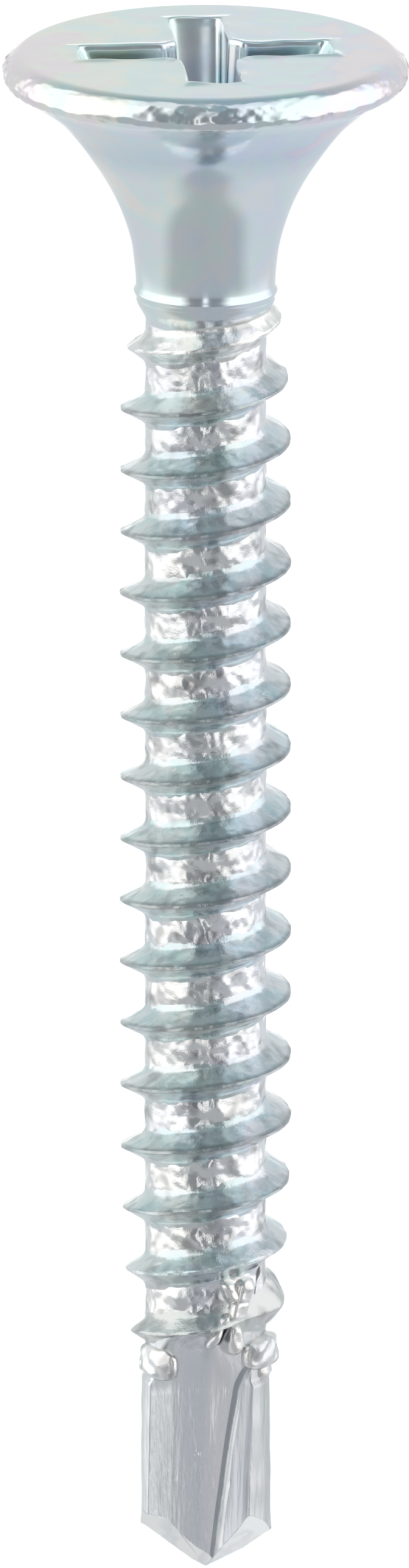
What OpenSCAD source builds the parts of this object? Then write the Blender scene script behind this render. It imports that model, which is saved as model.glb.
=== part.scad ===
// Self-drilling drywall screw, 3.5 x 32 mm, with a bugle head, a cross recess and a right-hand thread.
// The screw stands on the Z axis with its head up. Z = 0 is the flat top of the head.
// It is forged from one wire. Each node is one region of it, and the regions meet face to face.

/* [Head] */
// Largest diameter of the head, at its rim
head_d = 8.32; // [8:0.01:8.6]
// Radius of the bugle flare below the rim
flare_r = 5; // [4.8:0.1:5.2]
// Radius of the corner between the rim and the flare
rim_low_r = 0.25; // [0.15:0.05:0.3]
// Depth below the top at which the flare ends and the neck is straight
flare_depth = 5.05; // [4.95:0.05:5.15]
// Depth at which the head region meets the neck region
head_l = 4.4; // [4.2:0.1:4.6]

/* [Recess] */
// Distance across two opposite wings at the top
recess_span = 5.2; // [4.8:0.1:5.6]
// Width of a wing at the top
wing_w = 1.05; // [0.95:0.05:1.15]
// Width of a wing at the bottom
wing_floor_w = 0.8; // [0.7:0.05:0.9]
// Depth of the wings
recess_depth = 2.6; // [2.3:0.1:2.8]
// Angle between the axis and the outer edge of a wing
wing_slope = 26.5; // [24:0.5:28]
// Radius of the round core where the wings cross, at the top
recess_core_r = 0.95; // [0.85:0.05:1.05]
// Width of the bevel round the mouth
recess_bevel = 0.07; // [0.04:0.01:0.1]
// Turn of the cross about the axis
recess_turn = 5; // [0:1:90]

/* [Neck] */
// Diameter of the straight neck
neck_d = 2.87; // [2.8:0.01:2.95]
// Diameter over the small bead at the neck's lower end
bead_d = 2.97; // [2.95:0.01:3]
// Depth of the lower end of the neck's straight part
neck_end = 5.22; // [5.18:0.01:5.24]
// Depth at which the neck has tapered down to the core
run_in_end = 5.7; // [5.65:0.01:5.8]

/* [Thread] */
// Outside diameter of the thread
thread_d = 3.5; // [3.4:0.01:3.6]
// Diameter of the core under the thread
core_d = 2.48; // [2.4:0.01:2.5]
// Pitch of the right-hand thread
pitch = 1.3; // [1.2:0.01:1.4]
// Width of a full thread ridge where it meets the core
ridge_w = 0.62; // [0.5:0.01:0.7]
// Width of the flat on the thread's crest
crest_w = 0.05; // [0.03:0.01:0.1]
// Depth of the crest on the +X side of the first turn
thread_start = 5.6; // [5.58:0.01:5.65]
// Number of turns from there to the thread's lower end
thread_turns = 16.6; // [15:0.1:16.6]
// Straight segments in one turn
thread_steps = 36; // [24:4:48]

/* [Drill point] */
// Overall length of the screw
length = 32.08; // [31.9:0.02:32.2]
// Diameter of the drill
drill_d = 2.64; // [2.6:0.01:2.68]
// Depth at which the core ends and the drill region begins
drill_start = 26.6; // [26.55:0.01:26.65]
// Depth of the small step from the core's diameter to the drill's
step_depth = 27.95; // [27.9:0.05:28.05]
// Depth at which the drill region meets the tip region
tip_start = 30.6; // [30.5:0.01:30.6]
// Half of the point's angle
point_half = 52.5; // [50:0.5:55]
// Radius of the blunt flat at the very point
point_flat_r = 0.17; // [0.1:0.01:0.2]
// Radius of a flute's hollow floor
flute_r = 1.9; // [1.8:0.05:2]
// Half of the web's thickness at the point
web_half = 0.16; // [0.1:0.01:0.2]
// Depth of the centre of a flute's rounded upper end
flute_top = 28.3; // [28.3:0.05:28.4]
// Lean of a flute's floor away from the axis, going up
flute_lean = 3; // [2.5:0.5:4]

/* [Hidden] */
$fn = 96;
ZINC = [0.76, 0.80, 0.83];
ZINC_DARK = [0.62, 0.68, 0.72];
// Overshoot of a cutter past the face that it opens
CLEAR = 1;
// Air between the thread's straight chords and the round core
CHORD_GAP = 0.002;

head_r = head_d / 2;
neck_r = neck_d / 2;
core_r = core_d / 2;
drill_r = drill_d / 2;

// The flare is an arc that is tangent to the neck. The rim's lower corner is tangent to the flare.
flare_x = neck_r + flare_r;
rim_x = head_r - rim_low_r;
rim_z = -flare_depth + sqrt(pow(flare_r + rim_low_r, 2) - pow(flare_x - rim_x, 2));
rim_tangent_x = flare_x - (flare_x - rim_x) * flare_r / (flare_r + rim_low_r);
rim_top_r = -rim_z;

// The bead is a small round ring, partly sunk in the neck.
bead_r = 0.12;
bead_rise = 0.14;
bead_z = -neck_end + bead_rise;
// Extra radius of the blank that the flare is cut from
flare_blank = 0.1;

// The core of the recess narrows towards its floor, which is a shallow cone.
recess_core_floor_r = 0.7;
recess_floor_r = recess_span / 2 - recess_depth * tan(wing_slope);
recess_floor_cone = 0.3;

// The thread stands up from the neck's taper over a quarter turn, then rises to its full diameter.
start_turn = -0.25;
start_turns = 0.25;
start_r = 1.52;
ramp_turns = 1.75;
start_width_share = 0.4;
width_turns = 0.35;
// It sinks a little over its last turns, and its lower end fades out.
sink_turn = thread_turns - 3.2;
sink_per_turn = 0.054;
fade_turns = 0.18;
fade_share = 0.5;
end_width_share = 0.4;
// Least height of the crest over the core
MIN_RIDGE = 0.02;

// The upper end of the front flute takes the lower side of the ridge away where it crosses the last turn.
pinch_turn = thread_turns - 0.3;
pinch_turns = 0.2;
pinch_share = 0.7;

// A flute's wall leans from the axis at the point towards +X higher up.
wall_run = [0.76, -0.62, 4];
wall_side = [0.62, -0.78, 0];
flute_x = -0.1;
HALF_SPACE = 12;

// Length of the cone between the core's diameter and the drill's
step_l = 0.1;

// Flash: a large lump on one land at the drill's upper end, and a low collar on both lands under it.
lump_turn = -34;
lump_sweep = 60;
lump_z = -27.4;
lump_r = 1.47;
lump_h = 0.4;
collar_turn = -30;
collar_sweep = 62;
collar_z = -27.79;
collar_r = 1.37;
collar_h = 0.32;
// Width and height of the bevel along the edges of the flash
flash_bevel_w = 0.08;
flash_bevel_h = 0.06;

// Slopes in X and Y of the two bevels that each flute has at the point: one on the wall's lobe, one on the other.
wall_bevel = [0.47, -0.93];
floor_bevel = [-0.6, -1.9];
// The second bevel ends at a flatter plane: its height above the point on the axis, and its slope in X.
bevel_cap_h = 0.78;
bevel_cap_slope = -0.39;

function core_or_taper(z) =
    z > -run_in_end
    ? core_r + (neck_r - core_r) * (z + run_in_end) / (run_in_end - neck_end)
    : core_r;

function smooth(share) =
    let (s = min(1, max(0, share)))
    s * s * (3 - 2 * s);

function thread_z(turn) = -thread_start - pitch * turn;

// 0 along the thread, growing to 1 over its lower end.
function fade(turn) = smooth((turn - thread_turns) / fade_turns + 1);

function crest_r(turn) =
    let (low = core_or_taper(thread_z(turn)))
    let (risen = start_r + (thread_d / 2 - start_r) * min(1, (turn - start_turn) / ramp_turns))
    let (full = risen - sink_per_turn * max(0, turn - sink_turn))
    let (height = (full - low) * smooth((turn - start_turn) / start_turns))
    low + height * (1 - (1 - fade_share) * fade(turn));

function ridge_half(turn) =
    let (grown = smooth((turn - start_turn) / width_turns))
    let (start_width = start_width_share + (1 - start_width_share) * grown)
    let (end_width = 1 - (1 - end_width_share) * fade(turn))
    ridge_w / 2 * start_width * end_width;

// Four corners of the ridge's section, from its lower base over the crest to its upper base.
function ridge_corners(turn) =
    let (a = -360 * turn)
    let (z = thread_z(turn))
    let (base = ridge_half(turn))
    let (low = base * (1 - pinch_share * smooth(1 - abs(turn - pinch_turn) / pinch_turns)))
    let (tip = min(crest_w / 2, base / 2))
    let (grow = 1 / cos(180 / thread_steps))
    let (low_r = (core_or_taper(z - base) + CHORD_GAP) * grow)
    let (high_r = (core_or_taper(z + base) + CHORD_GAP) * grow)
    let (top_r = max(crest_r(turn), high_r + MIN_RIDGE))
    [
        for (c = [[low_r, -low], [top_r, -tip], [top_r, tip], [high_r, base]])
        [c[0] * cos(a), c[0] * sin(a), z + c[1]]
    ];

module turned(profile_points) {
    rotate_extrude()
        polygon(profile_points);
}

module head_profile() {
    difference() {
        translate([0, -head_l])
            square([rim_tangent_x, head_l + rim_z]);
        translate([flare_x, -flare_depth])
            circle(flare_r);
    }
    translate([0, rim_z])
        square([head_r - rim_top_r, rim_top_r]);
    translate([head_r - rim_top_r, rim_z])
        circle(rim_top_r);
    translate([rim_x, rim_z])
        circle(rim_low_r);
}

// One straight slot through the axis. Its sides draw in towards the floor.
module wing_pair() {
    rotate([90, 0, 0])
        linear_extrude(recess_span * 2, center = true)
        polygon([
            [-wing_floor_w / 2, -recess_depth - recess_floor_cone - CLEAR],
            [wing_floor_w / 2, -recess_depth - recess_floor_cone - CLEAR],
            [wing_floor_w / 2, -recess_depth],
            [wing_w / 2, -recess_bevel],
            [wing_w / 2 + recess_bevel + CLEAR, CLEAR],
            [-wing_w / 2 - recess_bevel - CLEAR, CLEAR],
            [-wing_w / 2, -recess_bevel],
            [-wing_floor_w / 2, -recess_depth]
        ]);
}

module recess() {
    rotate(recess_turn) {
        intersection() {
            union() {
                wing_pair();
                rotate(90)
                    wing_pair();
            }
            turned([
                [0, -recess_depth - recess_floor_cone],
                [recess_floor_r, -recess_depth],
                [recess_span / 2, -recess_bevel],
                [recess_span / 2 + recess_bevel + CLEAR, CLEAR],
                [0, CLEAR]
            ]);
        }
        turned([
            [0, -recess_depth - recess_floor_cone],
            [recess_core_floor_r, -recess_depth],
            [recess_core_r, 0],
            [recess_core_r, CLEAR],
            [0, CLEAR]
        ]);
    }
}

module bugle_head() {
    color(ZINC)
    difference() {
        rotate_extrude()
            head_profile();
        recess();
    }
}

module neck_profile() {
    difference() {
        polygon([
            [0, -head_l],
            [neck_r + flare_blank, -head_l],
            [neck_r + flare_blank, -flare_depth],
            [neck_r, -flare_depth],
            [neck_r, -neck_end],
            [core_r, -run_in_end],
            [0, -run_in_end]
        ]);
        translate([flare_x, -flare_depth])
            circle(flare_r);
    }
}

module neck() {
    color(ZINC) {
        rotate_extrude()
            neck_profile();
        rotate_extrude()
            translate([bead_d / 2 - bead_r, bead_z])
            circle(bead_r);
    }
}

module shank_core() {
    color(ZINC)
    translate([0, 0, -drill_start])
        cylinder(r = core_r, h = drill_start - run_in_end);
}

// The thread is a ring of corners at each step, joined to the next ring and closed at both ends.
module thread() {
    first = round(start_turn * thread_steps);
    last = round(thread_turns * thread_steps);
    points = [for (i = [first : last]) each ridge_corners(i / thread_steps)];
    rings = last - first + 1;
    sides = [
        for (i = [0 : rings - 2], k = [0 : 3])
        let (a = i * 4 + k, b = i * 4 + (k + 1) % 4)
        each [[a, a + 4, b + 4], [a, b + 4, b]]
    ];
    end = (rings - 1) * 4;
    caps = [[0, 1, 2], [0, 2, 3], [end, end + 2, end + 1], [end, end + 3, end + 2]];
    color(ZINC_DARK)
        polyhedron(points, concat(sides, caps));
}

// A large block on the side of a plane that its normal points to.
module half_space(place, normal) {
    translate(place)
        rotate(a = acos(normal[2] / norm(normal)), v = cross([0, 0, 1], normal))
        translate([-HALF_SPACE / 2, -HALF_SPACE / 2, 0])
        cube(HALF_SPACE);
}

module flute_cutter() {
    depth_y = -sqrt(pow(flute_r + web_half, 2) - pow(flute_x, 2));
    intersection() {
        translate([flute_x, depth_y, -length])
            rotate([flute_lean, 0, 0]) {
                translate([0, 0, -CLEAR])
                    cylinder(r = flute_r, h = length - flute_top + CLEAR);
                translate([0, 0, length - flute_top])
                    sphere(flute_r);
            }
        half_space([0, 0, -length], -cross(wall_run, wall_side));
    }
}

module flutes() {
    for (side = [0, 180])
        rotate(side)
        flute_cutter();
}

module drill_body() {
    color(ZINC)
    difference() {
        turned([
            [0, -tip_start],
            [drill_r, -tip_start],
            [drill_r, -step_depth - step_l],
            [core_r, -step_depth],
            [core_r, -drill_start],
            [0, -drill_start]
        ]);
        flutes();
    }
}

module bevels() {
    for (side = [0, 180])
        rotate(side) {
            half_space([0, 0, -length], [wall_bevel[0], wall_bevel[1], -1]);
            intersection() {
                half_space([0, 0, -length], [floor_bevel[0], floor_bevel[1], -1]);
                half_space([0, 0, -length + bevel_cap_h], [bevel_cap_slope, 0, -1]);
            }
        }
}

module drill_tip() {
    cone_l = (drill_r - point_flat_r) / tan(point_half);
    color(ZINC)
    difference() {
        turned([
            [0, -length],
            [point_flat_r, -length],
            [drill_r, -length + cone_l],
            [drill_r, -tip_start],
            [0, -tip_start]
        ]);
        flutes();
        bevels();
    }
}

// A band of metal that the pinching dies squeeze up on the shank, from an angle and over a sweep.
module flash(turn, sweep, z, height, out_r) {
    rotate(turn)
        rotate_extrude(angle = sweep)
        polygon([
            [core_r, z - height / 2],
            [out_r - flash_bevel_w, z - height / 2],
            [out_r, z - height / 2 + flash_bevel_h],
            [out_r, z + height / 2 - flash_bevel_h],
            [out_r - flash_bevel_w, z + height / 2],
            [core_r, z + height / 2]
        ]);
}

module pinch_flash() {
    color(ZINC_DARK) {
        flash(lump_turn, lump_sweep, lump_z, lump_h, lump_r);
        for (side = [0, 180])
            rotate(side)
            flash(collar_turn, collar_sweep, collar_z, collar_h, collar_r);
    }
}

bugle_head();
neck();
shank_core();
thread();
drill_body();
drill_tip();
pinch_flash();
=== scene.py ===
"""Looks of a self-drilling drywall screw: bright zinc plate on forged, rolled and pinched steel."""
from math import cos, pi, radians, sin, sqrt, tan

import bpy
import numpy as np
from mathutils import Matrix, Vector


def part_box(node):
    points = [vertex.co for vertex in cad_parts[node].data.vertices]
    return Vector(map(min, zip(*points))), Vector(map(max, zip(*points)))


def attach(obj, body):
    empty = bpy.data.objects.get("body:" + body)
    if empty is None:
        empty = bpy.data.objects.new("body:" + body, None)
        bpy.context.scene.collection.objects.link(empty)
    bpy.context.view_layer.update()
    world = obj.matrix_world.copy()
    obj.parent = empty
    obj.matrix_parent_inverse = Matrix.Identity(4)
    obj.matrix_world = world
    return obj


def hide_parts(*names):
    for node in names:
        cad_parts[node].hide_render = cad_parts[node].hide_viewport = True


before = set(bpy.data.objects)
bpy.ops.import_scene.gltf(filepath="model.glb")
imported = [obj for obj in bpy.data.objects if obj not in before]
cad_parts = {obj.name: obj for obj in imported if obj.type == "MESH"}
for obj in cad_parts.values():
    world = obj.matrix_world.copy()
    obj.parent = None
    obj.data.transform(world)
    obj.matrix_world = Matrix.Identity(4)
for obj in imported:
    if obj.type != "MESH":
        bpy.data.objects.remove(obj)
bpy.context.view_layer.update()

MM = 0.001
BODY = "root"


def box_mm(node):
    """Lowest and highest corner of a CAD node, in millimetres."""
    low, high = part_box(node)
    return np.array(low) / MM, np.array(high) / MM


# ---------------------------------------------------------------- sizes, in millimetres
HEAD_LOW, HEAD_HIGH = box_mm("bugle_head")
NECK_LOW, NECK_HIGH = box_mm("neck")
CORE_LOW, CORE_HIGH = box_mm("shank_core")
DRILL_LOW, DRILL_HIGH = box_mm("drill_body")
TIP_LOW, TIP_HIGH = box_mm("drill_tip")

HEAD_R = HEAD_HIGH[0]
CORE_R = CORE_HIGH[0]
THREAD_R = 1.75
DRILL_R = DRILL_HIGH[0]
TIP_Z = TIP_LOW[2]

# The head's profile: a flare that is an arc tangent to the neck, and two rim corners
NECK_R = 1.435
FLARE_R = 5.0
FLARE_Z = -5.05
RIM_LOW_R = 0.25
FLARE_X = NECK_R + FLARE_R
RIM_X = HEAD_R - RIM_LOW_R
RIM_Z = FLARE_Z + sqrt((FLARE_R + RIM_LOW_R) ** 2 - (FLARE_X - RIM_X) ** 2)
RIM_TOP_R = -RIM_Z
# The forged flare is a little fuller than the arc round one height.
FLARE_FULLER, FLARE_FULL_Z, FLARE_FULL_REACH = 0.05, -2.3, 0.6
# Above this height the profile's points are spaced along the arc, and below it by height.
FLARE_STEEP_Z = -1.2
FLARE_ROWS, FLARE_ARC_ROWS, RIM_LOW_ROWS, RIM_ROWS = 60, 14, 14, 26

# The cross recess
RECESS_HALF_SPAN = 2.6
RECESS_DEPTH = 2.6
RECESS_CONE = 0.3
WING_HALF_TOP = 0.525
WING_HALF_FLOOR = 0.4
WING_SLOPE = radians(26.5)
RECESS_CORE_TOP = 0.95
RECESS_CORE_FLOOR = 0.7
RECESS_TURN = radians(5)
MOUTH_ROUND = 0.1
# A low burr stands round the mouth.
BURR_HEIGHT, BURR_REACH = 0.052, 0.18
# Points along each stretch of a quarter of the outline, and the passes that round its corners
CORNER_POINTS, SIDE_POINTS, END_POINTS = 8, 24, 20
OUTLINE_ROUND_PASSES = 3
FACE_ROWS, MOUTH_ROWS, RECESS_WALL_ROWS, RECESS_FLOOR_ROWS = 28, 6, 34, 12
# The rings of the flat top crowd towards the mouth, and those of the floor end just short of its middle.
FACE_CROWDING = 1.8
FLOOR_END = 0.96

# The neck's small bead and its taper down to the core
BEAD_Z, BEAD_HEIGHT, BEAD_REACH = -5.03, 0.045, 0.075
TAPER_FOOT, TAPER_HEIGHT = 0.02, 0.5
NECK_ROWS, NECK_COLUMNS = 90, 240
CORE_ROWS, CORE_COLUMNS = 460, 180

# The thread
PITCH = 1.3
THREAD_TOP_Z = -5.6
FIRST_TURN = -0.25
LAST_TURN = 16.6
SINK_TURN = 13.4
SINK_PER_TURN = 0.054
START_R = 1.52
START_TURNS = 0.25
RAMP_TURNS = 1.75
WIDTH_TURNS = 0.35
START_WIDTH, END_WIDTH = 0.4, 0.4
FADE_TURNS, FADE_SHARE = 0.18, 0.5
RIDGE_HALF = 0.31
CREST_HALF = 0.03
MIN_RIDGE = 0.03
# How deep the ridge's root lies in the core, and how deep the feet of the ridge and the mounds reach
ROOT_DEPTH, FOOT_DEPTH = 0.004, 0.08
# The root's fillet, in half widths of the ridge, and its height as a share of the ridge's
FILLET_START, FILLET_END, FILLET_LIFT = 0.86, 1.35, 0.14
# The pinched, swollen and crushed spots of the last turns: where, how far they reach and how strong they are
PINCH_TURN, PINCH_TURNS, PINCH_SHARE = 16.3, 0.22, 0.75
SWELL_TURN, SWELL_TURNS, SWELL_SHARE = 15.97, 0.1, 0.7
CRUSH_TURN, CRUSH_TURNS, CRUSH_SHARE = 16.14, 0.11, 0.85
STEPS_PER_TURN = 110

# The drill: two flutes that are round in section, each with a flat cutting wall
STEP_Z, STEP_HEIGHT = -27.95, 0.12
FLUTE_R = 1.9
FLUTE_X = -0.1
FLUTE_DEPTH = 2.057
FLUTE_LENGTH = 3.775
FLUTE_LEAN = radians(3)
WALL_NORMAL = radians(38.5)
# How far the wall moves along its normal for each millimetre of height
WALL_RISE = 0.0523
# The least half angle of a flute's edges, seen from the middle of its round section
MOUTH_MIN = 0.12
CREASE_DEPTH, CREASE_REACH = 0.05, 0.05
WALL_RIB = 0.03
POINT_HALF = radians(52.5)
POINT_FLAT_R = 0.17
POINT_SHIFT = 0.08
# Slopes of the bevels on the wall's lobe and on the floor's, and the flatter plane that ends the second
WALL_BEVEL, FLOOR_BEVEL = (0.47, -0.93), (-0.6, -1.9)
BEVEL_CAP_HEIGHT, BEVEL_CAP_SLOPE = 0.78, -0.39
EDGE_ROUND_PASSES, EDGE_ROUND_REACH = 2, 2
FLOOR_POINTS, WALL_POINTS, LOBE_POINTS = 64, 22, 60
DRILL_ROWS = 150
# Rings of the ground point, the size of its first ring, rings above it, and steps that find its edge
FAN_ROWS, FAN_START = 44, 0.004
SLEEVE_ROWS = 30
HALVINGS = 20
# Columns of faces with painted shade in the crease at the wall's foot, and in the bright strip beside it
CREASE_COLUMNS, GLINT_COLUMNS = 4, 5
# Small nicks: X, Z and the side, -1 in front
NICKS = (
    (-0.17, -29.66, -1), (-0.62, -30.18, -1), (0.52, -30.25, -1),
    (0.3, -29.3, 1), (0.75, -30.0, 1),
)
NICK_R, NICK_DEPTH = 0.06, 0.035
# The ground point stands out a little at its edge.
GROUND_LIP = 1.012
# There is no wall where its foot is this close to the drill's surface; its points then span this angle.
NO_WALL_GAP, NO_WALL_ANGLE = 0.01, 0.02

# Random relief: each layer's height, bump size and seed, and the waves that add up to one layer
FACE_WAVES = (0.004, 1.1, 16)
BURR_LEVEL, BURR_WAVES = 0.85, (0.2, 0.9, 15)
HEAD_WAVES = (0.005, 1.6, 11)
RIM_DENTS = (0.005, 0.45, 12), (0.006, 0.17, 13)
CORE_DENTS = (0.008, 0.5, 21), (0.003, 0.22, 22)
THREAD_WOBBLE = (0.006, 0.6, 31), (0.003, 0.25, 32)
DRILL_STREAKS, DRILL_DENTS = (0.004, 0.28, 51), (0.004, 0.9, 52)
MOUND_DENT_HEIGHT, MOUND_DENT_SIZE = 0.022, 0.4
FIELD_WAVES = 26
# The pattern's height is scaled by these, which draws it out along the screw.
CORE_STRETCH, STREAK_STRETCH = 0.75, 0.12
# The relief fades out over these lengths, so that neighbouring pieces still meet.
END_FADE, HEAD_END_FADE, HEAD_TOP_FADE, FACE_EDGE_FADE = 0.2, 0.4, 0.15, 0.3
# The rim's dents start at this radius and are full a little further out.
RIM_START, RIM_FULL = 3.6, 4.0

# The squeezed-up mounds. Their ends are not quite pointed, a power below 1 makes their sides steep, and
# their underside bulges by a small share of their height.
MOUND_ROWS, MOUND_COLUMNS = 34, 44
MOUND_END, MOUND_POWER, MOUND_UNDERSIDE = 0.0009, 0.5, -0.04


# ---------------------------------------------------------------- small helpers
def smooth(share):
    """Smooth step of a share that is clamped to 0..1."""
    s = np.clip(share, 0.0, 1.0)
    return s * s * (3 - 2 * s)


def mix(a, b, share):
    return a + (b - a) * share


def bell(away, reach):
    """1 in the middle, falling smoothly to nothing at a few times the reach."""
    return np.exp(-((away / reach) ** 2))


def field(points, size, seed):
    """Smooth random relief at points in millimetres, mostly within -2 to 2, with bumps of about a size."""
    random = np.random.default_rng(seed)
    total = np.zeros(points.shape[:-1])
    for _ in range(FIELD_WAVES):
        direction = random.normal(size=3)
        direction /= np.linalg.norm(direction)
        rate = 2 * pi / size * random.uniform(0.6, 1.4)
        total += np.sin(points @ direction * rate + random.uniform(0, 2 * pi))
    return total * sqrt(2 / FIELD_WAVES)


def relief(points, *layers):
    """Sum of layers of random relief, each with its height and bump size in millimetres and its seed."""
    return sum(height * field(points, size, seed) for height, size, seed in layers)


def polar(radius, angle, height):
    """Points from radius, angle and height arrays that broadcast together."""
    radius, angle, height = np.broadcast_arrays(radius, angle, height)
    return np.stack([radius * np.cos(angle), radius * np.sin(angle), height], axis=-1)


def even_angles(count):
    return np.arange(count) * 2 * pi / count


def new_piece(name, points, faces, material, nodes, sharp=38):
    """One closed piece from points in millimetres, riding on the screw's body."""
    mesh = bpy.data.meshes.new(name)
    mesh.from_pydata((points * MM).tolist(), [], faces)
    mesh.validate()
    mesh.shade_smooth()
    mesh.set_sharp_from_angle(angle=radians(sharp))
    mesh.materials.append(material)
    piece = bpy.data.objects.new(name, mesh)
    bpy.context.scene.collection.objects.link(piece)
    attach(piece, BODY)
    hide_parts(*nodes)
    return piece


def grid_faces(rows, columns):
    """Quads of a grid of closed rings, facing outwards when rows go up and columns anticlockwise."""
    row, column = np.meshgrid(np.arange(rows - 1), np.arange(columns), indexing="ij")
    here = row * columns + column
    beside = row * columns + (column + 1) % columns
    return np.stack([here, beside, beside + columns, here + columns], axis=-1).reshape(-1, 4).tolist()


def closed_skin(grid):
    """Points and faces of a grid of rings, closed with one flat face at each end."""
    rows, columns, _ = grid.shape
    faces = grid_faces(rows, columns)
    last = (rows - 1) * columns
    faces.append(list(range(columns))[::-1])
    faces.append([last + i for i in range(columns)])
    return grid.reshape(-1, 3), faces


# ---------------------------------------------------------------- materials
# Bumps per millimetre of the tints' drift, the patches of gloss, the pits and the grain
DRIFT_RATE, PATCH_RATE, PIT_RATE, GRAIN_RATE = 0.9, 1.6, 2.3, 24.0
# The part of the noise's range that is used, and the part that makes pits
NOISE_SPAN, PIT_SPAN = (0.3, 0.7), (0.3, 0.46)
# Soft borders, in millimetres, and how strong the lower pale end and the painted shade on the crest are
PALE_REACH, PALE_BOTTOM = 0.7, 0.6
BAND_REACH_LOW, BAND_REACH_HIGH = 0.6, 0.3
CREST_REACH_IN, CREST_REACH_OUT, CREST_SHADE = 0.05, 0.02, 0.66
PALE, WHITE = (0.86, 0.86, 0.84, 1), (1.0, 1.0, 1.0)


def node(tree, kind, **values):
    made = tree.nodes.new(kind)
    for key, value in values.items():
        setattr(made, key, value)
    return made


def put(tree, socket, value):
    """Links an output to a socket, or sets the socket's own value."""
    if isinstance(value, bpy.types.NodeSocket):
        tree.links.new(value, socket)
    else:
        socket.default_value = value


def calc(tree, operation, *values):
    made = node(tree, "ShaderNodeMath", operation=operation)
    for socket, value in zip(made.inputs, values):
        put(tree, socket, value)
    return made.outputs[0]


def noise(tree, coords, scale, detail, stretch):
    """Noise whose scale is in bumps per millimetre."""
    mapping = node(tree, "ShaderNodeMapping")
    put(tree, mapping.inputs["Vector"], coords)
    mapping.inputs["Scale"].default_value = [s / MM for s in stretch]
    made = node(tree, "ShaderNodeTexNoise")
    put(tree, made.inputs["Vector"], mapping.outputs[0])
    made.inputs["Scale"].default_value = scale
    made.inputs["Detail"].default_value = detail
    return made.outputs["Fac"]


def ramp(tree, share, stops):
    """Colours at places from 0 to 1, blended between them."""
    made = node(tree, "ShaderNodeValToRGB")
    put(tree, made.inputs["Fac"], share)
    stops = sorted(stops)
    while len(made.color_ramp.elements) < len(stops):
        made.color_ramp.elements.new(0.5)
    for element, (place, colour) in zip(made.color_ramp.elements, stops):
        element.position = place
        element.color = (*colour, 1)
    return made.outputs["Color"]


def spread(tree, share, low, high, to_low, to_high):
    """Maps low..high to to_low..to_high, held at both ends."""
    made = node(tree, "ShaderNodeMapRange")
    put(tree, made.inputs["Value"], share)
    limits = {"From Min": low, "From Max": high, "To Min": to_low, "To Max": to_high}
    for name, value in limits.items():
        made.inputs[name].default_value = value
    return made.outputs["Result"]


def bumped(tree, height, distance, normal=None):
    """The normal of a height pattern, laid over another normal if there is one."""
    made = node(tree, "ShaderNodeBump")
    put(tree, made.inputs["Height"], height)
    made.inputs["Distance"].default_value = distance
    if normal is not None:
        put(tree, made.inputs["Normal"], normal)
    return made.outputs["Normal"]


def blended(tree, share, a, b, blend="MIX"):
    """Colour a with colour b laid over it by a share."""
    made = node(tree, "ShaderNodeMix", data_type="RGBA", blend_type=blend)
    put(tree, made.inputs["Factor"], share)
    put(tree, made.inputs["A"], a)
    put(tree, made.inputs["B"], b)
    return made.outputs["Result"]


def darkened(tree, colour, share):
    """A colour times a grey share."""
    return blended(tree, 1.0, colour, share, "MULTIPLY")


def tinted(tree, coords, x, tints, flow, drift_by):
    """Tints from the left of the head to its right, with borders that drift."""
    across = spread(tree, x, -HEAD_R * MM, HEAD_R * MM, -0.1, 1.1)
    pattern = noise(tree, coords, DRIFT_RATE, 3.0, flow)
    drift = spread(tree, pattern, *NOISE_SPAN, -drift_by, drift_by)
    return ramp(tree, calc(tree, "ADD", across, drift), tints)


def with_pale_ends(tree, colour, z, high, low):
    """Paler above one height and, less strongly, below another."""
    top = spread(tree, z, (high - PALE_REACH) * MM, high * MM, 0.0, 1.0)
    bottom = spread(tree, z, (low + PALE_REACH) * MM, low * MM, 0.0, PALE_BOTTOM)
    return blended(tree, calc(tree, "MAXIMUM", top, bottom), colour, PALE)


def with_band(tree, colour, z, low, high, tint):
    """A tint between two heights, with soft borders outside them."""
    from_below = spread(tree, z, (low - BAND_REACH_LOW) * MM, low * MM, 0.0, 1.0)
    from_above = spread(tree, z, (high + BAND_REACH_HIGH) * MM, high * MM, 0.0, 1.0)
    inside = calc(tree, "MULTIPLY", from_below, from_above)
    return darkened(tree, colour, ramp(tree, inside, [(0.0, WHITE), (1.0, tint)]))


def with_pits(tree, colour, coords, flow, pit):
    """Small pits whose colour is darkened to the share pit."""
    pits = noise(tree, coords, PIT_RATE, 1.0, flow)
    return darkened(tree, colour, spread(tree, pits, *PIT_SPAN, pit, 1.0))


def with_crest_painted_shade(tree, colour, x, y, edge):
    """Painted shade past the radius edge, on the crest of the thread."""
    squares = calc(tree, "ADD", calc(tree, "MULTIPLY", x, x), calc(tree, "MULTIPLY", y, y))
    radius = calc(tree, "SQRT", squares)
    low, high = edge - CREST_REACH_IN, edge + CREST_REACH_OUT
    return darkened(tree, colour, spread(tree, radius, low * MM, high * MM, 1.0, CREST_SHADE))


def dented(tree, coords, flow, dent_rate, depths):
    """The normal of hammered dents with a fine grain over them."""
    coarse = noise(tree, coords, dent_rate, 1.0, flow)
    fine = noise(tree, coords, GRAIN_RATE, 3.0, flow)
    dents = bumped(tree, coarse, depths[0] * MM)
    return bumped(tree, fine, depths[1] * MM, dents)


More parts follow.
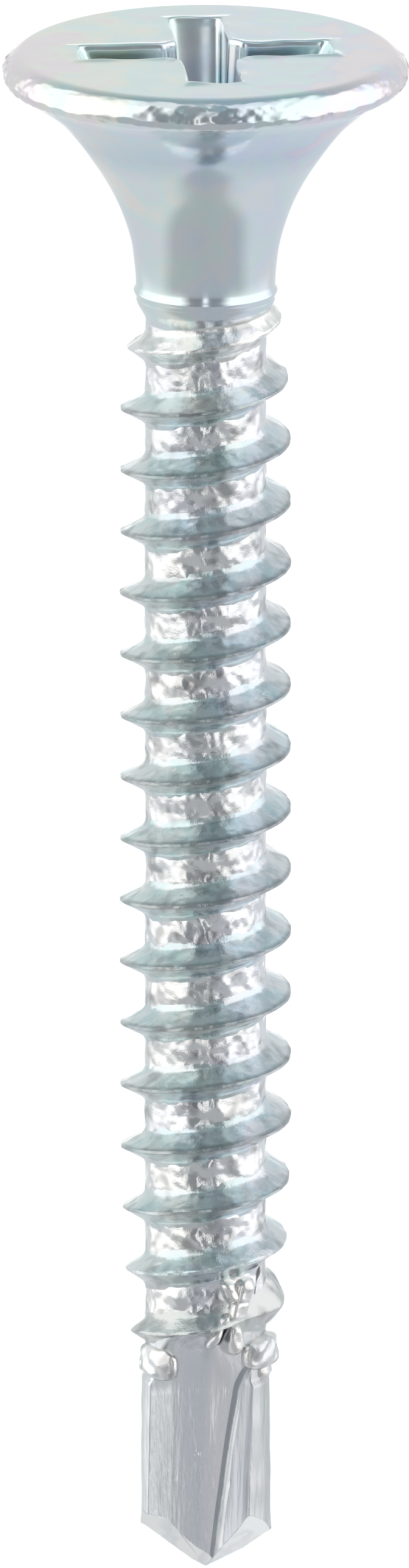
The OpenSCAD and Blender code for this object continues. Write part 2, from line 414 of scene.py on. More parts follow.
def zinc(name, tints, rough, depths=None, flow=(1, 1, 1), drift_by=0.25, dent_rate=5.0, pit=1.0,
         edge=None, pale=None, band=None, metal=1.0):
    """Bright zinc plate: passivation tints that drift across it, patchy gloss, dents and a fine grain. On
    some plates the tints are painted light and shade.

    rough is the least and greatest roughness, and depths those of the dents and of the grain. Without depths
    the plate has neither. flow stretches the patterns along the screw. pit is how dark the pits are, edge the
    radius past which a crest gets painted shade, and pale the heights where the upper and lower pale ends are
    full. band is the lower and upper height of a tinted band, and its tint.
    """
    material = bpy.data.materials.new(name)
    material.use_nodes = True
    tree = material.node_tree
    shader = tree.nodes["Principled BSDF"]
    coords = node(tree, "ShaderNodeTexCoord").outputs["Object"]
    axes = node(tree, "ShaderNodeSeparateXYZ")
    put(tree, axes.inputs[0], coords)
    x, y, z = axes.outputs
    colour = tinted(tree, coords, x, tints, flow, drift_by)
    if pale:
        colour = with_pale_ends(tree, colour, z, *pale)
    if band:
        colour = with_band(tree, colour, z, *band)
    if pit < 1:
        colour = with_pits(tree, colour, coords, flow, pit)
    if edge:
        colour = with_crest_painted_shade(tree, colour, x, y, edge)
    put(tree, shader.inputs["Base Color"], colour)
    shader.inputs["Metallic"].default_value = metal
    patches = noise(tree, coords, PATCH_RATE, 4.0, flow)
    put(tree, shader.inputs["Roughness"], spread(tree, patches, *NOISE_SPAN, *rough))
    if depths:
        put(tree, shader.inputs["Normal"], dented(tree, coords, flow, dent_rate, depths))
    return material


KHAKI, TEAL, BLUE = (0.86, 0.86, 0.79), (0.74, 0.86, 0.85), (0.75, 0.82, 0.90)
GREY, LILAC, PINK = (0.81, 0.83, 0.85), (0.79, 0.78, 0.88), (0.88, 0.80, 0.82)
# Its band makes the flare a little darker and bluer just under the rim.
FORGED = zinc(
    "zinc_forged",
    [(0.0, PINK), (0.14, KHAKI), (0.34, TEAL), (0.5, GREY),
     (0.62, BLUE), (0.78, TEAL), (0.9, LILAC), (1.0, PINK)],
    rough=(0.1, 0.2), band=(-1.7, -0.9, (0.84, 0.87, 0.94)),
)
ROLLED = zinc(
    "zinc_rolled",
    [(0.2, (0.87, 0.86, 0.83)), (0.5, (0.80, 0.81, 0.81)),
     (0.65, (0.85, 0.85, 0.89)), (0.8, (0.85, 0.85, 0.85))],
    rough=(0.08, 0.18), depths=(0.05, 0.003), dent_rate=3.0, pit=0.62,
)
THREADED = zinc(
    "zinc_thread",
    [(0.3, (0.76, 0.80, 0.79)), (0.42, (0.66, 0.78, 0.78)), (0.5, (0.70, 0.76, 0.77)),
     (0.58, (0.68, 0.78, 0.83)), (0.7, (0.76, 0.78, 0.81))],
    rough=(0.14, 0.26), depths=(0.03, 0.004), dent_rate=3.4, pit=0.75, edge=1.7, pale=(-6.2, -26.2),
    band=(-27.0, -26.1, (0.8, 0.8, 0.79)),
)
# Across the drill this ramp paints light and shade: a painted highlight on the floor right of the middle, and
# painted shade on the right-hand land.
PINCHED_PAINTED_LIGHT = zinc(
    "zinc_pinched",
    [(0.31, (0.78, 0.79, 0.78)), (0.36, (0.82, 0.84, 0.86)), (0.41, (0.85, 0.87, 0.87)),
     (0.45, (0.87, 0.88, 0.91)), (0.49, (0.82, 0.84, 0.88)), (0.53, (0.95, 0.93, 0.95)),
     (0.6, (0.93, 0.94, 0.95)), (0.635, (0.66, 0.67, 0.68)), (0.69, (0.60, 0.61, 0.62))],
    rough=(0.2, 0.34), depths=(0.035, 0.01), flow=(1, 1, 0.12), drift_by=0.04, pit=0.86,
)
# Painted shade: the cutting walls' dark colour stands in for the shade they show; their higher roughness is
# real.
SHEARED_PAINTED_SHADE = zinc(
    "zinc_sheared_painted_shade",
    [(0.4, (0.58, 0.60, 0.63)), (0.55, (0.62, 0.64, 0.67)), (0.7, (0.56, 0.58, 0.60))],
    rough=(0.24, 0.4), depths=(0.04, 0.01), flow=(1, 1, 0.1), drift_by=0.08,
)
# Painted shade for the crease at the foot of each cutting wall.
CREASE_PAINTED_SHADE = zinc(
    "zinc_crease_painted_shade",
    [(0.4, (0.50, 0.53, 0.56)), (0.6, (0.46, 0.49, 0.52))],
    rough=(0.24, 0.4), depths=(0.03, 0.01), flow=(1, 1, 0.12),
)
GROUND = zinc(
    "zinc_ground",
    [(0.35, (0.80, 0.80, 0.79)), (0.45, (0.70, 0.71, 0.72)), (0.6, (0.82, 0.83, 0.82))],
    rough=(0.22, 0.34), drift_by=0.35, metal=0.55,
)
MANGLED = zinc(
    "zinc_mangled",
    [(0.3, (0.84, 0.85, 0.84)), (0.5, (0.86, 0.84, 0.82)), (0.7, (0.76, 0.78, 0.79))],
    rough=(0.18, 0.32), depths=(0.03, 0.004), dent_rate=4.0, pit=0.7,
)
# Painted shadow for the dark lines in the folds of the flash.
FOLD_PAINTED_SHADOW = zinc(
    "zinc_fold_painted_shadow",
    [(0.4, (0.42, 0.43, 0.44)), (0.6, (0.34, 0.35, 0.36))],
    rough=(0.3, 0.45), depths=(0.03, 0.006),
)


# ---------------------------------------------------------------- bugle head
def arc_points(radius, start, end, count):
    """Points along an arc round the axis, up to the one before its end."""
    return [(radius * cos(a), radius * sin(a)) for a in np.linspace(start, end, count)[:-1]]


def side_points(start, end, y):
    """Points along a straight side at y, up to the one before its end."""
    return [(x, y) for x in np.linspace(start, end, SIDE_POINTS)[:-1]]


def recess_outline(depth, grow=0.0):
    """The recess's edge at a depth, as points that run once round it. It is grown outwards by grow."""
    share = depth / RECESS_DEPTH
    span = RECESS_HALF_SPAN - depth * tan(WING_SLOPE) + grow
    half = mix(WING_HALF_TOP, WING_HALF_FLOOR, share) + grow
    core = mix(RECESS_CORE_TOP, RECESS_CORE_FLOOR, share) + grow
    join = sqrt(core ** 2 - half ** 2)
    end = sqrt(span ** 2 - half ** 2)
    core_angle = np.arctan2(half, join)
    tip_angle = np.arctan2(half, end)
    quarter = np.array(
        arc_points(core, -pi / 4, -core_angle, CORNER_POINTS)
        + side_points(join, end, -half)
        + arc_points(span, -tip_angle, tip_angle, END_POINTS)
        + side_points(end, join, half)
        + arc_points(core, core_angle, pi / 4, CORNER_POINTS)
    )
    turned = []
    for k in range(4):
        a = RECESS_TURN + k * pi / 2
        turned.append(quarter @ np.array([[cos(a), sin(a)], [-sin(a), cos(a)]]))
    outline = np.concatenate(turned)
    for _ in range(OUTLINE_ROUND_PASSES):
        outline = outline / 2 + (np.roll(outline, 1, 0) + np.roll(outline, -1, 0)) / 4
    return outline


def flat_ring(outline, height):
    return np.column_stack([outline, np.full(len(outline), height)])


def head_profile():
    """Radius and height of the head's outside, from its lower end over the rim to the edge of the top."""
    places = []
    for z in np.linspace(HEAD_LOW[2], FLARE_STEEP_Z, FLARE_ROWS)[:-1]:
        fuller = FLARE_FULLER * bell(z - FLARE_FULL_Z, FLARE_FULL_REACH)
        places.append((FLARE_X - sqrt(FLARE_R ** 2 - (z - FLARE_Z) ** 2) + fuller, z))
    touch = np.arctan2(FLARE_Z - RIM_Z, FLARE_X - RIM_X)
    start = np.arcsin((FLARE_STEEP_Z - FLARE_Z) / FLARE_R)
    for a in np.linspace(start, -touch, FLARE_ARC_ROWS)[:-1]:
        places.append((FLARE_X - FLARE_R * cos(a), FLARE_Z + FLARE_R * sin(a)))
    for a in np.linspace(touch, 0, RIM_LOW_ROWS)[:-1]:
        places.append((RIM_X + RIM_LOW_R * cos(a), RIM_Z + RIM_LOW_R * sin(a)))
    for a in np.linspace(0, pi / 2, RIM_ROWS):
        places.append((HEAD_R - RIM_TOP_R + RIM_TOP_R * cos(a), RIM_Z + RIM_TOP_R * sin(a)))
    return np.array(places)


def recess_rings():
    """Rings from the rounded mouth of the recess down its walls and over its conical floor."""
    rings = []
    for a in np.linspace(0, pi / 2, MOUTH_ROWS + 1)[:-1]:
        grow = MOUTH_ROUND * (1 - sin(a))
        rings.append(flat_ring(recess_outline(0, grow), -MOUTH_ROUND * (1 - cos(a))))
    for depth in np.linspace(MOUTH_ROUND, RECESS_DEPTH, RECESS_WALL_ROWS):
        rings.append(flat_ring(recess_outline(depth), -depth))
    floor = recess_outline(RECESS_DEPTH)
    for share in np.linspace(0, FLOOR_END, RECESS_FLOOR_ROWS)[1:]:
        rings.append(flat_ring(floor * (1 - share), -RECESS_DEPTH - RECESS_CONE * share))
    return rings


def make_head():
    """The head in one skin: up the outside, over the flat top and down into the recess."""
    mouth = recess_outline(0, MOUTH_ROUND)
    first_angle = np.arctan2(mouth[0][1], mouth[0][0])
    around = first_angle + even_angles(len(mouth))
    profile = head_profile()
    rows = [polar(radius, around, z) for radius, z in profile]
    edge = rows[-1][:, :2]
    for share in np.linspace(0, 1, FACE_ROWS + 2)[1:-1]:
        rows.append(flat_ring(mix(edge, mouth, 1 - (1 - share) ** FACE_CROWDING), 0.0))
    grid = np.stack(rows + recess_rings())
    relief_head(grid[:len(profile)])
    relief_face(grid[len(profile) - 1:len(profile) + FACE_ROWS + MOUTH_ROWS])
    points, faces = closed_skin(grid)
    return new_piece("bugle_head_skin", points, faces, FORGED, ["bugle_head"])


def relief_face(face):
    """A faint waviness of the flat top, and a low uneven burr round the mouth of the recess."""
    x, y = face[..., 0], face[..., 1]
    turned_x = np.abs(x * cos(RECESS_TURN) + y * sin(RECESS_TURN))
    turned_y = np.abs(y * cos(RECESS_TURN) - x * sin(RECESS_TURN))
    long, short = np.maximum(turned_x, turned_y), np.minimum(turned_x, turned_y)
    to_wing = np.maximum(short - WING_HALF_TOP, long - RECESS_HALF_SPAN)
    to_core = np.hypot(x, y) - RECESS_CORE_TOP
    away = np.clip(np.minimum(to_wing, to_core), 0, None)
    uneven = BURR_LEVEL + relief(face, BURR_WAVES)
    inside = smooth((HEAD_R - RIM_TOP_R - np.hypot(x, y)) / FACE_EDGE_FADE)
    waves = inside * relief(face, FACE_WAVES)
    face[..., 2] += BURR_HEIGHT * uneven * bell(away, BURR_REACH) + waves


def relief_head(outside):
    """Small dents and waves of forging, mostly on the rim and along the flare."""
    radius = np.hypot(outside[..., 0], outside[..., 1])
    height = outside[..., 2]
    rim = smooth((radius - RIM_START) / (RIM_FULL - RIM_START))
    wave = relief(outside, HEAD_WAVES) + rim * relief(outside, *RIM_DENTS)
    off_ends = smooth((height - HEAD_LOW[2]) / HEAD_END_FADE) * smooth(-height / HEAD_TOP_FADE)
    outside[..., :2] *= (1 + wave * off_ends / radius)[..., None]


# ---------------------------------------------------------------- neck
def neck_radius(z):
    """The neck's end of the flare, the small bead under it and the taper down to the core."""
    flare = FLARE_X - np.sqrt(FLARE_R ** 2 - np.clip(z - FLARE_Z, 0, None) ** 2)
    taper = CORE_R + (NECK_R - CORE_R) * smooth((z - NECK_LOW[2] - TAPER_FOOT) / TAPER_HEIGHT)
    bead = BEAD_HEIGHT * bell(z - BEAD_Z, BEAD_REACH)
    return np.where(z > FLARE_Z, flare, taper) + bead


def shank_radius(z):
    """Radius under the thread: the neck's at its height, and the core's below it."""
    return np.where(z > NECK_LOW[2], neck_radius(np.minimum(z, NECK_HIGH[2])), CORE_R)


def make_neck():
    z = np.linspace(NECK_LOW[2], NECK_HIGH[2], NECK_ROWS)[:, None]
    around = even_angles(NECK_COLUMNS)[None, :]
    grid = polar(neck_radius(z), around, z)
    points, faces = closed_skin(grid)
    return new_piece("neck_skin", points, faces, FORGED, ["neck"])


# ---------------------------------------------------------------- core
def core_relief(points):
    """The rolled core isn't quite round: shallow dents and flats that break up its reflections."""
    z = points[..., 2]
    off_ends = smooth((z - CORE_LOW[2]) / END_FADE) * smooth((CORE_HIGH[2] - z) / END_FADE)
    return off_ends * relief(points * np.array([1, 1, CORE_STRETCH]), *CORE_DENTS)


def make_core():
    z = np.linspace(CORE_LOW[2], CORE_HIGH[2], CORE_ROWS)[:, None]
    around = even_angles(CORE_COLUMNS)[None, :]
    grid = polar(CORE_R + core_relief(polar(CORE_R, around, z)), around, z)
    points, faces = closed_skin(grid)
    return new_piece("core_skin", points, faces, ROLLED, ["shank_core"])


# ---------------------------------------------------------------- thread
def thread_z(turn):
    return THREAD_TOP_Z - PITCH * turn


def fade(turn):
    """0 along the thread, growing to 1 over its lower end."""
    return smooth((turn - LAST_TURN) / FADE_TURNS + 1)


def crest_radius(turn):
    """The crest stands up from the neck's taper, rises to its full radius and sinks towards the drill."""
    low = shank_radius(thread_z(turn))
    risen = START_R + (THREAD_R - START_R) * np.clip((turn - FIRST_TURN) / RAMP_TURNS, 0, 1)
    full = risen - SINK_PER_TURN * np.clip(turn - SINK_TURN, 0, None)
    height = (full - low) * smooth((turn - FIRST_TURN) / START_TURNS)
    crushed = CRUSH_SHARE * smooth(1 - np.abs(turn - CRUSH_TURN) / CRUSH_TURNS)
    return low + height * (1 - (1 - FADE_SHARE) * fade(turn)) * (1 - crushed)


def ridge_half(turn):
    """Half of the ridge's width at its root."""
    grown = smooth((turn - FIRST_TURN) / WIDTH_TURNS)
    start_share = START_WIDTH + (1 - START_WIDTH) * grown
    end_share = 1 - (1 - END_WIDTH) * fade(turn)
    return RIDGE_HALF * start_share * end_share * (1 + SWELL_SHARE * swollen(turn))


def swollen(turn):
    """The dies flatten the ridge to a wide lobe on one side."""
    return bell(turn - SWELL_TURN, SWELL_TURNS)


def ridge_lift(turns, across):
    """Height across the ridge as a share of the crest's: straight flanks with a fillet at each root."""
    share = np.clip((1 - np.abs(across)) / (1 - CREST_HALF / RIDGE_HALF), None, 1)
    flank = np.where(share > 0, np.maximum(share, 0) ** (1 - 0.5 * swollen(turns)), 0)
    into_fillet = (FILLET_END - np.abs(across)) / (FILLET_END - FILLET_START)
    fillet = FILLET_LIFT * np.clip(into_fillet, 0, 1) ** 2
    return np.where(np.abs(across) > FILLET_START, fillet, flank)


def make_thread():
    """The ridge's section runs from its lower root over the crest to the upper one, and back in the core."""
    count = int(STEPS_PER_TURN * (LAST_TURN - FIRST_TURN))
    turns = np.linspace(FIRST_TURN, LAST_TURN, count)[:, None]
    half_across = np.array([0.04, 0.09, 0.16, 0.27, 0.4, 0.55, 0.7, FILLET_START, 1.0, 1.15, FILLET_END])
    across = np.concatenate([-half_across[::-1], [0], half_across])
    lift = ridge_lift(turns, across)
    pinched = 1 - PINCH_SHARE * smooth(1 - np.abs(turns - PINCH_TURN) / PINCH_TURNS)
    z = thread_z(turns) + np.where(across < 0, pinched, 1) * across[None, :] * ridge_half(turns)
    angle = -2 * pi * turns
    base = shank_radius(z) - ROOT_DEPTH
    radius = base + np.maximum(crest_radius(turns) - base, MIN_RIDGE) * lift
    wobble = relief(polar(radius, angle, z), *THREAD_WOBBLE)
    radius = radius + wobble * smooth(lift * 3)
    z = z + 0.5 * wobble * smooth(lift * 2)
    outer = polar(radius, angle, z)
    inner_low = polar(CORE_R - FOOT_DEPTH, angle, z[:, :1])
    inner_high = polar(CORE_R - FOOT_DEPTH, angle, z[:, -1:])
    points, faces = closed_skin(np.concatenate([outer, inner_high, inner_low], axis=1))
    faces = [face[::-1] for face in faces]
    return new_piece("thread_ridge", points, faces, THREADED, ["thread"], 50)


# ---------------------------------------------------------------- drill
def body_radius(z):
    """The drill is a little thicker than the core, with a small step between them."""
    return mix(CORE_R, DRILL_R, smooth((STEP_Z - z) / STEP_HEIGHT))


def flute_circle(height):
    """Centre (X, Y) and radius of a flute's round section at heights above the point."""
    low = np.minimum(height, FLUTE_LENGTH)
    centre_y = -FLUTE_DEPTH - low * tan(FLUTE_LEAN)
    over = np.clip(height - FLUTE_LENGTH, 0, FLUTE_R - 0.01)
    return np.full_like(height, FLUTE_X), centre_y, np.sqrt(FLUTE_R ** 2 - over ** 2)


def line_points(start, end, shares):
    """Points along straight lines, one line for each row."""
    return start[:, None, :] + (end - start)[:, None, :] * shares[None, :, None]


def on_circle(radius, angle):
    return np.stack([radius * np.cos(angle), radius * np.sin(angle)], axis=-1)


def flute_floor(height, body):
    """The flute's round floor at heights above the point, from its edge to the crease at the wall's foot."""
    centre_x, centre_y, radius = flute_circle(height)
    away = np.hypot(centre_x, centre_y)
    inwards = np.arctan2(-centre_y, -centre_x)
    reach = (away ** 2 + radius ** 2 - body ** 2) / (2 * away * radius)
    half = np.maximum(np.arccos(np.clip(reach, -1, 1)), MOUTH_MIN)
    to_wall = (WALL_RISE * height - cos(WALL_NORMAL) * centre_x - sin(WALL_NORMAL) * centre_y) / radius
    crease = np.maximum(WALL_NORMAL + np.arccos(np.clip(to_wall, -1, 1)), inwards - half)
    along = np.linspace(0, 1, FLOOR_POINTS)[None, :]
    arc = mix((inwards + half)[:, None], crease[:, None], along)
    groove = CREASE_DEPTH * bell(1 - along, CREASE_REACH)
    floor = np.stack([centre_x, centre_y], -1)[:, None, :] + on_circle(radius[:, None] + groove, arc)
    stretch = np.minimum(1, body[:, None] / np.hypot(floor[..., 0], floor[..., 1]))
    return floor * stretch[..., None]


def cutting_wall(height, body, foot):
    """The wall's points from the floor's crease outwards, with a faint rib, and the angle of its outer edge.

    Where the crease has reached the drill's surface there is no wall, and its points stay beside the foot.
    """
    foot_angle = np.arctan2(foot[:, 1], foot[:, 0])
    wall_angle = WALL_NORMAL - np.arccos(np.clip(WALL_RISE * height / body, -1, 1))
    has_wall = np.hypot(foot[:, 0], foot[:, 1]) < body - NO_WALL_GAP
    edge_angle = np.where(has_wall, wall_angle, foot_angle + NO_WALL_ANGLE)
    shares = np.linspace(0, 1, WALL_POINTS)[1:]
    wall = line_points(foot, on_circle(body, edge_angle), shares)
    rib = WALL_RIB * np.sin(2 * pi * shares)[None, :, None] * has_wall[:, None, None]
    return wall - rib * np.array([cos(WALL_NORMAL), sin(WALL_NORMAL)]), edge_angle


def half_outline(z):
    """Half of the drill's outline at heights z: a flute's floor, its cutting wall, then the lobe after it."""
    height = z - TIP_Z
    body = body_radius(z)
    floor = flute_floor(height, body)
    wall, edge_angle = cutting_wall(height, body, floor[:, -1])
    land = np.arctan2(floor[:, 0, 1], floor[:, 0, 0]) + pi
    lobe_angle = mix(edge_angle[:, None], land[:, None], np.linspace(0, 1, LOBE_POINTS)[None, 1:-1])
    return np.concatenate([floor, wall, on_circle(body[:, None], lobe_angle)], axis=1)


def drill_outline(z):
    """The drill's outline at heights z, one ring a row. The flutes' outer edges are rounded a little."""
    half = half_outline(z)
    whole = np.concatenate([half, -half], axis=1)
    whole = whole / 2 + (np.roll(whole, 1, 1) + np.roll(whole, -1, 1)) / 4
    count = half.shape[1]
    from_edge = np.arange(2 * count) % count
    from_edge = np.minimum(from_edge, count - from_edge)
    share = bell(from_edge, EDGE_ROUND_REACH)[None, :, None] / 2
    for _ in range(EDGE_ROUND_PASSES):
        whole = mix(whole, (np.roll(whole, 1, 1) + np.roll(whole, -1, 1)) / 2, share)
    return np.concatenate([whole, np.broadcast_to(z[:, None, None], (*whole.shape[:2], 1))], axis=2)


def tip_height(x, y):
    """Height of the point's surface: a blunt cone a little off the axis, and two bevels on each side."""
    height = np.clip(np.hypot(x - POINT_SHIFT, y) - POINT_FLAT_R, 0, None) / tan(POINT_HALF)
    for side in (1, -1):
        by_wall = side * (WALL_BEVEL[0] * x + WALL_BEVEL[1] * y)
        by_floor = side * (FLOOR_BEVEL[0] * x + FLOOR_BEVEL[1] * y)
        cap = BEVEL_CAP_HEIGHT + side * BEVEL_CAP_SLOPE * x
        height = np.maximum(height, np.maximum(by_wall, np.minimum(by_floor, cap)))
    return TIP_Z + height


def pinch_marks(grid):
    """Lengthwise streaks, small dents and a few nicks that the pinching dies leave."""
    drawn_out = grid * np.array([1, 1, STREAK_STRETCH])
    marks = relief(drawn_out, DRILL_STREAKS) + relief(grid, DRILL_DENTS)
    for x, z, side in NICKS:
        away = np.hypot(grid[..., 0] - x, 0.7 * (grid[..., 2] - z))
        marks = marks + NICK_DEPTH * bell(away, NICK_R) * (grid[..., 1] * side > 0)
    radius = np.hypot(grid[..., 0], grid[..., 1])
    below_top = smooth((DRILL_HIGH[2] - grid[..., 2]) / END_FADE)
    grid[..., :2] *= (1 + marks * below_top / np.maximum(radius, 0.3))[..., None]
    return grid


def make_drill_body():
    z = np.linspace(DRILL_LOW[2], DRILL_HIGH[2], DRILL_ROWS)
    grid = pinch_marks(drill_outline(z))
    points, faces = closed_skin(grid)
    piece = new_piece("drill_body_skin", points, faces, PINCHED_PAINTED_LIGHT, ["drill_body"])
    colour_walls(piece, grid.shape[1])
    return piece


def colour_walls(piece, columns):
    """The cutting walls were sheared, not pressed, so they are rougher than the floors, and their darker
    colour is painted shade.

    A crease with painted shade runs along the wall's foot, with a bright strip beside it.
    """
    first = len(piece.data.materials)
    for material in (CREASE_PAINTED_SHADE, GROUND, SHEARED_PAINTED_SHADE):
        piece.data.materials.append(material)
    foot = FLOOR_POINTS - 1
    half = columns // 2
    for face in piece.data.polygons:
        column = face.index % columns % half
        if face.material_index > 0 or not foot - CREASE_COLUMNS <= column < foot + WALL_POINTS - 1:
            continue
        if column < foot:
            face.material_index = first
        elif column < foot + GLINT_COLUMNS:
            face.material_index = first + 1
        else:
            face.material_index = first + 2


def ring_at(z):
    """One ring whose points each have their own height: column i is taken from the outline at z[i]."""
    grid = drill_outline(z)
    column = np.arange(len(z))
    return grid[column, column]


def cut_heights(count, top):
    """Height at which each column of the outline meets the point's surface, found by halving."""
    low, high = np.full(count, TIP_Z), np.full(count, top)
    for _ in range(HALVINGS):
        middle = (low + high) / 2
        ring = ring_at(middle)
        above = ring[:, 2] > tip_height(ring[:, 0], ring[:, 1])
        high = np.where(above, middle, high)
        low = np.where(above, low, middle)
    return high


def make_drill_tip():
    """Rings of the ground point from its middle to its edge, then rings from there up to the drill's body."""
    top = TIP_HIGH[2]
    count = drill_outline(np.array([top])).shape[1]
    cut = cut_heights(count, top)
    edge = ring_at(cut)
    rows = []
    for share in np.linspace(FAN_START, 1, FAN_ROWS)[:-1]:
        ring = edge.copy()
        ring[:, :2] *= share
        ring[:, 2] = tip_height(ring[:, 0], ring[:, 1])
        rows.append(ring)
    for share in np.linspace(0, 1, SLEEVE_ROWS):
        rows.append(ring_at(mix(cut, np.full(count, top), share)))
    grid = np.stack(rows)
    grid[FAN_ROWS - 1:] = pinch_marks(grid[FAN_ROWS - 1:])
    grid[FAN_ROWS - 2:FAN_ROWS, :, :2] *= GROUND_LIP
    points, faces = closed_skin(grid)
    piece = new_piece("drill_tip_skin", points, faces, PINCHED_PAINTED_LIGHT, ["drill_tip"], 28)
    piece.data.materials.append(GROUND)
    for face in piece.data.polygons[:(FAN_ROWS - 1) * count]:
        face.material_index = 1
    colour_walls(piece, count)
    return piece


# ---------------------------------------------------------------- flash round the drill's upper end
def mound(turn, half_turn, z, half_height, out, lean, seed, depth=FOOT_DEPTH):
    """A closed mound on the shank, whose sides are steeper than an ellipse's.

    turn and half_turn are the angle of its middle and half of its spread, in degrees, and out is the radius
    it reaches. lean shifts its ends sideways, in half spreads, and depth is how far its foot is sunk.
    """
    v = np.linspace(-1, 1, MOUND_ROWS)[:, None]
    around = even_angles(MOUND_COLUMNS)[None, :]
    width = np.sqrt(np.clip(1 - np.abs(v) ** 4, MOUND_END, 1))
    bulge = np.sign(np.sin(around)) * np.abs(np.sin(around)) ** MOUND_POWER * width
    angle = radians(turn) + radians(half_turn) * (np.cos(around) * width + lean * v)
    foot = CORE_R - depth
    level = foot + (out - foot) * np.clip(bulge, MOUND_UNDERSIDE, None)
    grid = polar(level, angle, z + half_height * v)
    dents = relief(grid, (MOUND_DENT_HEIGHT, MOUND_DENT_SIZE, seed)) * smooth(bulge)
    grid[..., :2] *= (1 + dents / out)[..., None]
    return grid


def joined(grids):
    """Points and faces of several closed skins in one mesh."""
    points, faces, start = [], [], 0
    for grid in grids:
        more_points, more_faces = closed_skin(grid)
        points.append(more_points)
        faces.extend([[index + start for index in face] for face in more_faces])
        start += len(more_points)
    return np.concatenate(points), faces


def make_flash():
    """The metal that the pinching dies squeeze up, in one piece. Its last faces are thin dark slivers that
    paint the shadow lines in its folds.
    """
    lumps = [
        # The lump under the thread's flattened end
        mound(-20, 31, -27.4, 0.36, 1.5, 0.0, 42),
        # The collars at the drill's upper end
        mound(-150, 31, -27.6, 0.36, 1.37, 0.0, 43),
        mound(28, 31, -27.7, 0.27, 1.38, 0.0, 44),
        mound(-8, 22, -27.82, 0.18, 1.37, 0.0, 45),
        mound(166, 22, -27.8, 0.18, 1.38, 0.0, 46),
        # The spur and the lump over the front flute, and the spur over the back one
        mound(-79, 7, -26.78, 0.44, 1.5, 1.4, 47, 0.4),
        mound(-62, 9, -26.98, 0.4, 1.46, -0.2, 48, 0.4),
        mound(100, 7, -26.66, 0.5, 1.46, 1.3, 49, 0.4),
        # Mangled metal between the last turns
        mound(-52, 9, -26.0, 0.3, 1.46, 0.4, 50),
        mound(-66, 8, -25.98, 0.26, 1.42, -0.5, 51),
        mound(-58, 10, -26.36, 0.24, 1.44, 0.3, 52),
    ]
    # Painted shadow: thin dark slivers for the shadow lines from one ridge to the next, and over the spur
    painted_shadow_folds = [
        mound(-32, 2, -25.86, 0.34, 1.27, 2.2, 53),
        mound(-73, 2, -26.8, 0.32, 1.44, 3.0, 55, 0.3),
    ]
    points, faces = joined(lumps + painted_shadow_folds)
    plain_faces = len(joined(lumps)[1])
    piece = new_piece("flash_lumps", points, faces, MANGLED, ["pinch_flash"], 60)
    piece.data.materials.append(FOLD_PAINTED_SHADOW)
    for face in piece.data.polygons[plain_faces:]:
        face.material_index = 1
    return piece


# ---------------------------------------------------------------- stage, lights and camera
VIEW_ELEVATION = radians(14.7)
VIEW_HEIGHT = 32.119701
AIM = np.array([-0.022, 0.0, -15.52])
CAMERA_DISTANCE = 400.0
FLOOR_HALF, FLOOR_GAP = 1500, 0.4
GLOW_HEIGHT, GLOW_SIZE, GLOW_POWER = 600, 2400, 16.0
# Places on the tent, as the Z of a direction: where each part starts to show and where it is full
LOW_PART = (-0.22, -0.36)
ROOF_PART = (0.78, 1.22)
STRIP_TOP, STRIP_FOOT = (0.14, 0.04), (-0.42, -0.3)
# Places round the tent, as a share from 0 in front to 1 behind
STRIP_BEHIND = (0.9, 0.97)
ROOF_LOW_BEHIND, ROOF_LOW_IN_FRONT = (0.62, 0.76), (0.0, 0.14)
ROOF_LOWERED_BEHIND, ROOF_LOWERED_IN_FRONT = 0.33, 0.38
ROOF_COLOUR, STRIP_COLOUR = (0.34, 0.45, 0.48, 1), (1.3, 1.3, 1.3, 1)


def make_camera():
    data = bpy.data.cameras.new("camera")
    data.type = "ORTHO"
    data.ortho_scale = VIEW_HEIGHT * MM
    data.clip_start, data.clip_end = 0.001, 10
    camera = bpy.data.objects.new("camera", data)
    back = np.array([0, -cos(VIEW_ELEVATION), sin(VIEW_ELEVATION)])
    camera.location = (AIM + back * CAMERA_DISTANCE) * MM
    camera.rotation_euler = (pi / 2 - VIEW_ELEVATION, 0, 0)
    bpy.context.scene.collection.objects.link(camera)
    bpy.context.scene.camera = camera


def make_floor():
    half, z = FLOOR_HALF, TIP_Z - FLOOR_GAP
    corners = [(-half, -half, z), (half, -half, z), (half, half, z), (-half, half, z)]
    mesh = bpy.data.meshes.new("floor")
    mesh.from_pydata([[c * MM for c in corner] for corner in corners], [], [[0, 1, 2, 3]])
    material = bpy.data.materials.new("floor")
    material.use_nodes = True
    shader = material.node_tree.nodes["Principled BSDF"]
    shader.inputs["Base Color"].default_value = (0.93, 0.93, 0.93, 1)
    shader.inputs["Roughness"].default_value = 0.9
    mesh.materials.append(material)
    floor = bpy.data.objects.new("floor", mesh)
    bpy.context.scene.collection.objects.link(floor)
    floor.visible_glossy = False


def tent_walls(tree, share, z):
    """Colours round the tent: a dim gap in front and bright sides, and softer ones low down."""
    level = ramp(tree, share, [
        (0.0, (1.25, 1.25, 1.25)), (0.014, (1.2, 1.2, 1.2)), (0.03, (0.24, 0.26, 0.28)),
        (0.14, (0.30, 0.32, 0.34)), (0.235, (1.25, 1.25, 1.25)), (0.64, (1.25, 1.26, 1.27)),
        (0.75, (0.72, 0.76, 0.78)), (1.0, (0.78, 0.82, 0.82)),
    ])
    low = ramp(tree, share, [
        (0.0, (0.46, 0.48, 0.50)), (0.31, (0.48, 0.50, 0.52)), (0.45, (0.72, 0.74, 0.76)),
        (0.75, (0.70, 0.72, 0.76)), (1.0, (0.74, 0.77, 0.80)),
    ])
    return blended(tree, spread(tree, z, *LOW_PART, 0.0, 1.0), level, low)


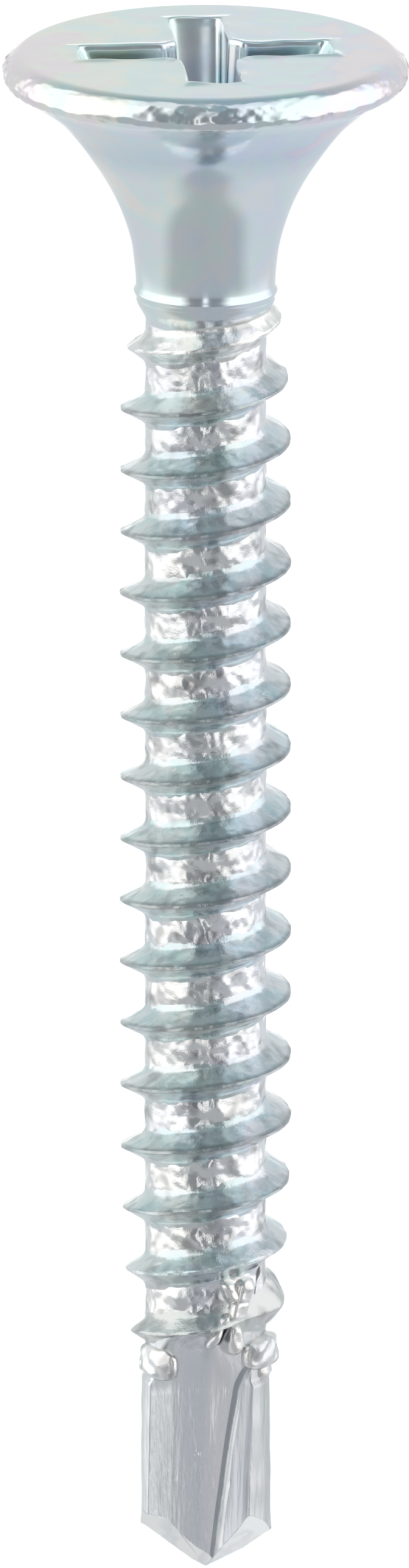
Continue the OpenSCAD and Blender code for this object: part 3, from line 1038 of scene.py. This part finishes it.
def with_roof(tree, share, z, colour):
    """A dim roof. It comes down lower in front and behind, where there is no bright wall."""
    behind = spread(tree, share, *ROOF_LOW_BEHIND, 0.0, ROOF_LOWERED_BEHIND)
    in_front = spread(tree, share, *ROOF_LOW_IN_FRONT, ROOF_LOWERED_IN_FRONT, 0.0)
    lowered = calc(tree, "ADD", calc(tree, "ADD", z, behind), in_front)
    return blended(tree, spread(tree, lowered, *ROOF_PART, 0.0, 1.0), colour, ROOF_COLOUR)


def with_strip(tree, share, z, colour):
    """Low behind, a bright strip for the lips of the recess to mirror."""
    top, foot = spread(tree, z, *STRIP_TOP, 0.0, 1.0), spread(tree, z, *STRIP_FOOT, 0.0, 1.0)
    behind = spread(tree, share, *STRIP_BEHIND, 0.0, 1.0)
    shown = calc(tree, "MULTIPLY", calc(tree, "MULTIPLY", top, foot), behind)
    return blended(tree, shown, colour, STRIP_COLOUR)


def make_world():
    """A soft white tent with a dim gap in front, a bright wall on either side and a dim blue-green roof."""
    world = bpy.data.worlds.new("tent")
    bpy.context.scene.world = world
    world.use_nodes = True
    tree = world.node_tree
    background = tree.nodes["Background"]
    direction = node(tree, "ShaderNodeTexCoord").outputs["Generated"]
    axes = node(tree, "ShaderNodeSeparateXYZ")
    put(tree, axes.inputs[0], direction)
    x, y, z = axes.outputs
    turn = calc(tree, "ARCTAN2", calc(tree, "ABSOLUTE", x), calc(tree, "MULTIPLY", y, -1.0))
    share = calc(tree, "DIVIDE", turn, pi)
    colour = with_roof(tree, share, z, tent_walls(tree, share, z))
    put(tree, background.inputs["Color"], with_strip(tree, share, z, colour))
    background.inputs["Strength"].default_value = 1.0


def make_glow():
    """Light from above for what isn't a mirror. It casts no shadow and isn't mirrored."""
    data = bpy.data.lights.new("floor_glow", "AREA")
    data.shape = "RECTANGLE"
    data.size, data.size_y = GLOW_SIZE * MM, GLOW_SIZE * MM
    data.energy = GLOW_POWER
    data.use_shadow = False
    light = bpy.data.objects.new("floor_glow", data)
    light.location = (0, 0, GLOW_HEIGHT * MM)
    bpy.context.scene.collection.objects.link(light)
    light.visible_glossy = False


make_camera()
make_world()
make_glow()
make_floor()
make_head()
make_neck()
make_core()
make_thread()
make_drill_body()
make_drill_tip()
make_flash()

bpy.context.scene.view_settings.view_transform = "Standard"
